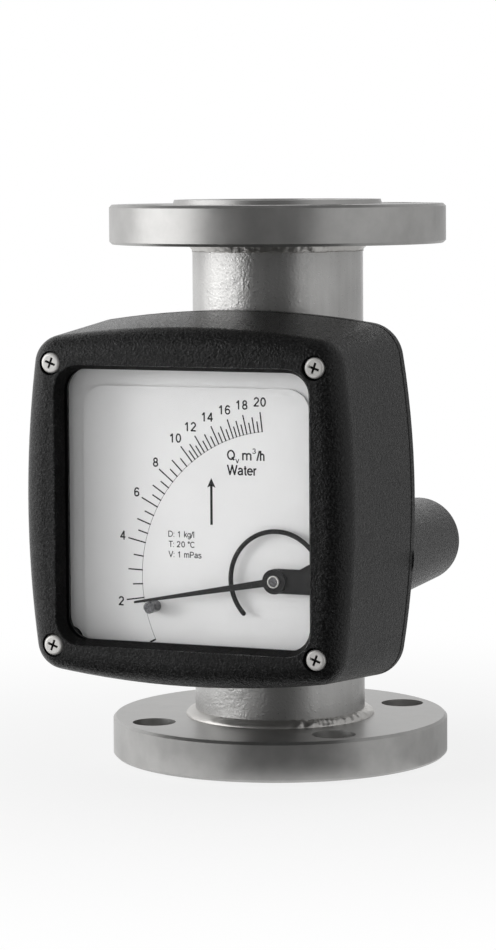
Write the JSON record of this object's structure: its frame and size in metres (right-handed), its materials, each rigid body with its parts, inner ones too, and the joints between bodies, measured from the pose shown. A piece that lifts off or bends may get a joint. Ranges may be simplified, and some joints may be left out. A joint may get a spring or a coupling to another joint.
{
  "type": "metal tube rotameter",
  "caption": "Flanged metal-tube variable-area flow meter: magnetic float in a tapered cone drives a pointer over a printed flow scale in a windowed housing.",
  "frame": {"origin": "centre of the inlet flange's raised sealing face, on the tube's axis", "axes": "+Z along the tube from the inlet up to the outlet; the dial faces -Y; +X to the right of someone reading the dial"},
  "size_m": [0.1606, 0.1825, 0.25],
  "materials": {
    "flange_steel": "pickled satin stainless",
    "blasted_steel": "bead-blasted stainless",
    "weld_steel": "weld bead",
    "turned_steel": "turned stainless",
    "sheet_steel": "zinc-plated sheet",
    "screw_steel": "plain stainless",
    "housing_paint": "fine wrinkle black powder coat on cast aluminium",
    "dial_print": "matt white sheet with black print",
    "black_moulding": "matt black moulding",
    "seal_rubber": "matt rubber",
    "window_glass": "clear float glass",
    "movement_alloy": "plain milled aluminium",
    "bearing_brass": "turned brass",
    "magnet": "sintered magnet"
  },
  "bodies": {
    "meter_frame": {"inlet_flange": "flange_steel", "outlet_flange": "flange_steel", "metering_tube": "blasted_steel", "inlet_weld": "weld_steel", "outlet_weld": "weld_steel", "metering_cone": "flange_steel", "lower_guide": "flange_steel", "upper_guide": "flange_steel", "mounting_block": "blasted_steel", "block_welds": "weld_steel", "housing_screws": "screw_steel", "rear_base": "housing_paint", "base_gasket": "seal_rubber", "entry_plug": "screw_steel", "entry_seal": "seal_rubber", "front_cover": "housing_paint", "cover_screws": "screw_steel", "window_glass": "window_glass", "glass_seal": "seal_rubber", "glass_retainer": "sheet_steel", "retainer_screws": "screw_steel", "dial_plate": "dial_print", "dial_carrier": "dial_print", "carrier_screws": "screw_steel", "dial_posts": "movement_alloy", "base_posts": "movement_alloy", "movement_plate": "movement_alloy", "bridge_posts": "movement_alloy", "bridge_screws": "screw_steel", "pointer_bridge": "black_moulding", "front_bush": "bearing_brass", "rear_bush": "bearing_brass", "stop_pin": "black_moulding", "brake_yoke": "sheet_steel", "brake_magnets": "magnet"},
    "float": {"float_body": "turned_steel", "float_magnet": "magnet", "float_rod": "turned_steel", "float_stop_collar": "turned_steel"},
    "pointer": {"pointer_shaft": "turned_steel", "pointer_needle": "black_moulding", "hub_collet": "screw_steel", "hub_screw": "screw_steel", "follower_arm": "movement_alloy", "follower_magnet": "magnet", "counterweight": "bearing_brass", "brake_disc": "movement_alloy"}
  },
  "joints": [
    {"name": "float_lift", "type": "slide", "parent": "meter_frame", "child": "float", "axis": [0, 0, 1], "range_m": [0, 0.048]},
    {"name": "pointer_turn", "type": "hinge", "parent": "meter_frame", "child": "pointer", "pos_m": [0.0372, -0.07, 0.0921], "axis": [0, 1, 0], "range_deg": [0, 94]}
  ],
  "couplings": [
    {"joint": "pointer_turn", "follows": "float_lift", "rad_per_m": 34.17}
  ]
}
